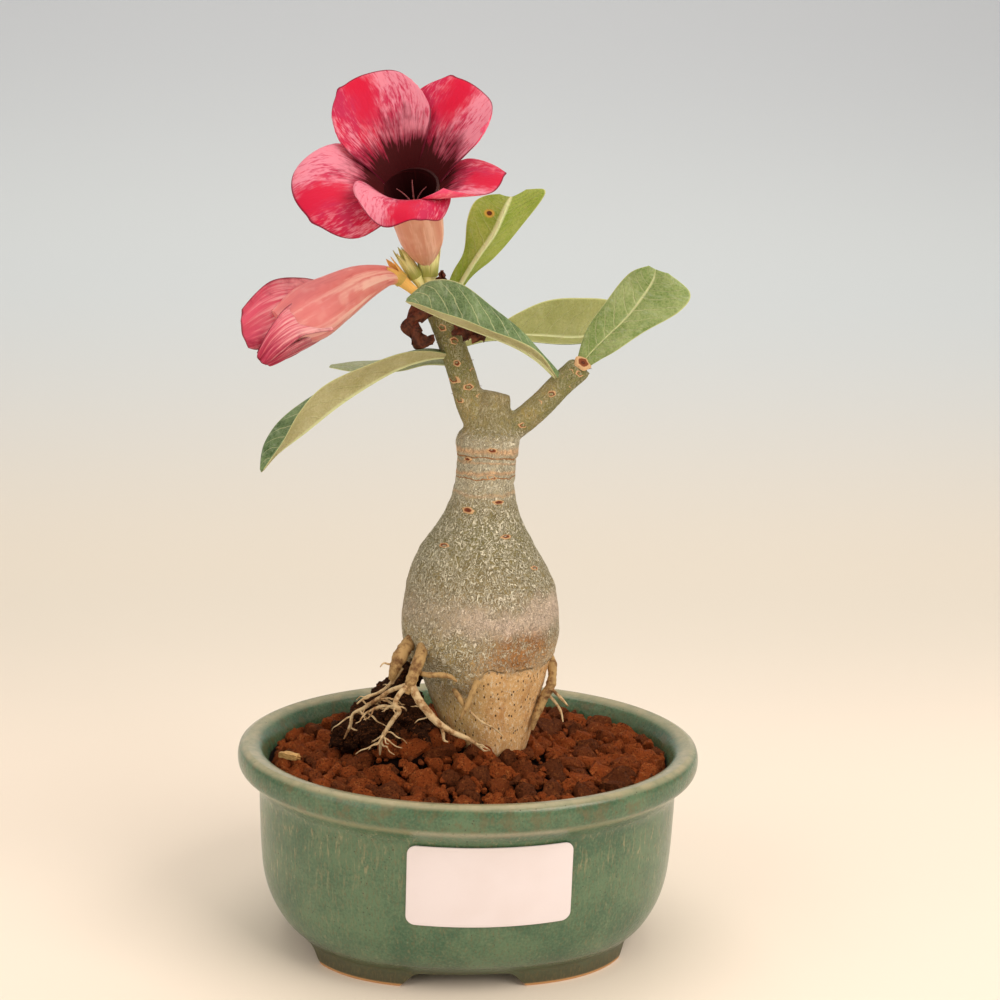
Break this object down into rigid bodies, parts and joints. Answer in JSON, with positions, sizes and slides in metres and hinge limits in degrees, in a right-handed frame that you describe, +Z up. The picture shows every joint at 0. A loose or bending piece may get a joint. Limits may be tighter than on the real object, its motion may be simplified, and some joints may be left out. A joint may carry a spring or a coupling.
{
  "type": "desert rose bonsai in an oval pot",
  "caption": "Desert rose bonsai with a bottle-shaped caudex, bare roots, green leaves, an open red bloom and a wilted one, in a glazed oval bowl of red granules with a blank label.",
  "frame": {"origin": "on the floor under the middle of the pot", "axes": "+Z up, +X along the long side of the pot to the side of the single right leaf, -Y to the side with the label"},
  "size_m": [0.14, 0.1206, 0.2576],
  "materials": {
    "glaze": "gloss",
    "paper": "satin",
    "granules": "matte",
    "plastic": "matte",
    "wood": "matte",
    "bark": "matte",
    "peat": "matte",
    "leaf": "satin",
    "petal": "satin",
    "anther": "matte",
    "calyx": "satin",
    "faded_petal": "satin",
    "dry": "matte"
  },
  "bodies": {
    "root": {"pot": "glaze", "label": "paper", "soil": "granules", "drain_mesh_left": "plastic", "drain_mesh_right": "plastic", "wood_chip": "wood", "trunk": "bark", "peat_clump": "peat", "leaf_top": "leaf", "leaf_right": "leaf", "leaf_front": "leaf", "leaf_back": "leaf", "leaf_left": "leaf", "leaf_small": "leaf", "bloom_corolla": "petal", "bloom_anthers": "anther", "bloom_calyx": "calyx", "faded_corolla": "faded_petal", "faded_calyx": "calyx", "spent_calyx": "calyx", "dry_bract_left": "dry", "dry_bract_right": "dry", "small_bract": "dry"}
  },
  "joints": []
}
